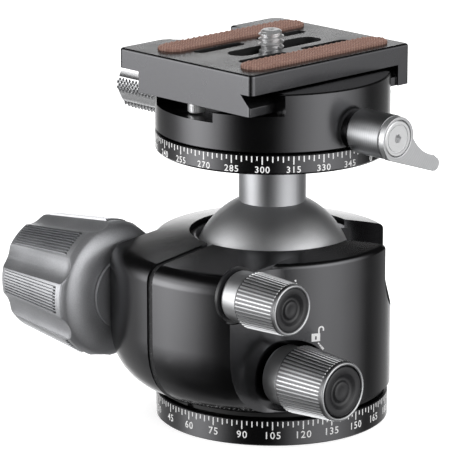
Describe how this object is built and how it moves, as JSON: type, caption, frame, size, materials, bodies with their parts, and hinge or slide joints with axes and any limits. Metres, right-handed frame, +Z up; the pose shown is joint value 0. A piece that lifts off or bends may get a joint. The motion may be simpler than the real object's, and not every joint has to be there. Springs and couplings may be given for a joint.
{
  "type": "tripod ball head",
  "caption": "Ball head for a camera tripod: black panning body with a locking knob and small side knobs, ball on a neck, turning dovetail clamp with lever, and quick-release plate.",
  "frame": {"origin": "centre of the base's underside, on the axis of the tripod thread", "axes": "+Z up along the ball and base axis; +X towards the small side knobs and the clamp's lever; -X towards the large locking knob and the clamp's screw knob; -Y towards the clamping slit and the plate's closed end"},
  "size_m": [0.0959, 0.0765, 0.098],
  "materials": {
    "black_anodised": "fine satin black anodising",
    "black_body": "satin black coat",
    "black_seal": "matt speckled black",
    "black_polymer": "matt black",
    "white_polymer": "matt ivory",
    "black_cap": "satin black",
    "titanium_grey": "bead-blasted grey",
    "satin_silver": "satin silver",
    "lever_silver": "satin silver",
    "blasted_ball": "bead-blasted gunmetal",
    "blasted_neck": "satin grey",
    "polished_ring": "turned, bright",
    "black_plate": "fine satin black anodising",
    "white_print": "white print",
    "chromed_knob": "bright, knurled",
    "bright_screw": "bright plated",
    "bare_steel": "machined",
    "brass_shoe": "machined",
    "brown_grip": "dark red-brown, fine raised grain"
  },
  "bodies": {
    "base": {"base_ring": "black_anodised", "thread_insert": "bare_steel", "pan_spindle": "bare_steel", "pan_drum": "bare_steel", "drum_screws": "bare_steel", "lower_washer": "black_polymer", "upper_washer": "white_polymer"},
    "body": {"housing": "black_body", "housing_floor": "black_anodised", "slit_seal": "black_seal", "ball_liner": "black_polymer", "liner_ring": "polished_ring"},
    "main_press": {"main_washer": "black_polymer"},
    "main_lock": {"main_knob": "titanium_grey", "main_bolt": "bare_steel"},
    "friction_press": {"friction_washer": "black_polymer"},
    "friction_lock": {"friction_knob": "satin_silver", "friction_cap": "black_cap", "friction_screw": "bare_steel"},
    "pan_press": {"pan_shoe": "brass_shoe"},
    "pan_lock": {"pan_knob": "satin_silver", "pan_cap": "black_cap", "pan_screw": "bare_steel"},
    "swivel": {"ball_seat": "white_polymer"},
    "ball_neck": {"ball": "blasted_ball", "stem": "blasted_neck", "scale_ring": "black_anodised", "upper_spindle": "bare_steel", "spindle_bolt": "bare_steel"},
    "clamp": {"clamp_body": "black_anodised", "retaining_pins": "bare_steel", "jaw_guide_pins": "bare_steel"},
    "lever_press": {"lever_shoe": "brass_shoe"},
    "lever": {"lever_barrel": "lever_silver", "lever_arm": "lever_silver", "lever_screw": "bright_screw"},
    "jaw": {"moving_jaw": "black_anodised"},
    "jaw_knob": {"clamp_knob": "chromed_knob", "clamp_screw": "bare_steel"},
    "camera_plate": {"plate": "black_plate", "grip_strip_left": "brown_grip", "grip_strip_right": "brown_grip", "stop_screws": "bright_screw"},
    "screw_slider": {"screw_clip": "bare_steel"},
    "screw": {"camera_screw": "bright_screw"}
  },
  "joints": [
    {"name": "base_pan", "type": "hinge", "parent": "base", "child": "body", "pos_m": [0, 0, 0.01], "axis": [0, 0, 1], "continuous": true},
    {"name": "main_press_slide", "type": "slide", "parent": "body", "child": "main_press", "axis": [-1, 0, 0], "range_m": [0, 0.001]},
    {"name": "main_lock_turn", "type": "hinge", "parent": "main_press", "child": "main_lock", "pos_m": [-0.03, -0.0295, 0.0321], "axis": [-1, 0, 0], "range_deg": [0, 360]},
    {"name": "friction_press_slide", "type": "slide", "parent": "body", "child": "friction_press", "axis": [1, 0, 0], "range_m": [0, 0.0007]},
    {"name": "friction_lock_turn", "type": "hinge", "parent": "friction_press", "child": "friction_lock", "pos_m": [0.03, -0.0328, 0.041], "axis": [1, 0, 0], "range_deg": [0, 360]},
    {"name": "pan_press_slide", "type": "slide", "parent": "body", "child": "pan_press", "axis": [1, 0, 0], "range_m": [0, 0.0008]},
    {"name": "pan_lock_turn", "type": "hinge", "parent": "pan_press", "child": "pan_lock", "pos_m": [0.03, -0.0177, 0.0181], "axis": [1, 0, 0], "range_deg": [0, 360]},
    {"name": "ball_swivel", "type": "hinge", "parent": "body", "child": "swivel", "pos_m": [0, 0, 0.0369], "axis": [0, 0, 1], "range_deg": [-360, 0]},
    {"name": "ball_tilt", "type": "hinge", "parent": "swivel", "child": "ball_neck", "pos_m": [0, 0, 0.0369], "axis": [-0.7071, 0.7071, 0], "range_deg": [-28, 90]},
    {"name": "upper_pan", "type": "hinge", "parent": "ball_neck", "child": "clamp", "pos_m": [0, 0, 0.077], "axis": [0, 0, 1], "continuous": true},
    {"name": "lever_press_slide", "type": "slide", "parent": "clamp", "child": "lever_press", "axis": [1, 0, 0], "range_m": [-0.000033333, 0.00016667]},
    {"name": "lever_turn", "type": "hinge", "parent": "lever_press", "child": "lever", "pos_m": [0.036, -0.0005, 0.0778], "axis": [1, 0, 0], "range_deg": [-15, 75]},
    {"name": "jaw_slide", "type": "slide", "parent": "clamp", "child": "jaw", "axis": [-1, 0, 0], "range_m": [0, 0.003]},
    {"name": "jaw_knob_turn", "type": "hinge", "parent": "jaw", "child": "jaw_knob", "pos_m": [-0.04, 0, 0.0773], "axis": [-1, 0, 0], "range_deg": [0, 1350]},
    {"name": "plate_slide", "type": "slide", "parent": "clamp", "child": "camera_plate", "axis": [0, 1, 0], "range_m": [-0.0035, 0.0035]},
    {"name": "screw_slide", "type": "slide", "parent": "camera_plate", "child": "screw_slider", "axis": [0, 1, 0], "range_m": [-0.009, 0.0115]},
    {"name": "screw_turn", "type": "hinge", "parent": "screw_slider", "child": "screw", "pos_m": [-0.0006, 0, 0.092], "axis": [0, 0, 1], "continuous": true}
  ],
  "couplings": [
    {"joint": "main_lock_turn", "follows": "main_press_slide", "rad_per_m": 6283.2},
    {"joint": "friction_lock_turn", "follows": "friction_press_slide", "rad_per_m": 8976},
    {"joint": "pan_lock_turn", "follows": "pan_press_slide", "rad_per_m": 7854},
    {"joint": "lever_turn", "follows": "lever_press_slide", "rad_per_m": 7854},
    {"joint": "jaw_knob_turn", "follows": "jaw_slide", "rad_per_m": 7854}
  ]
}
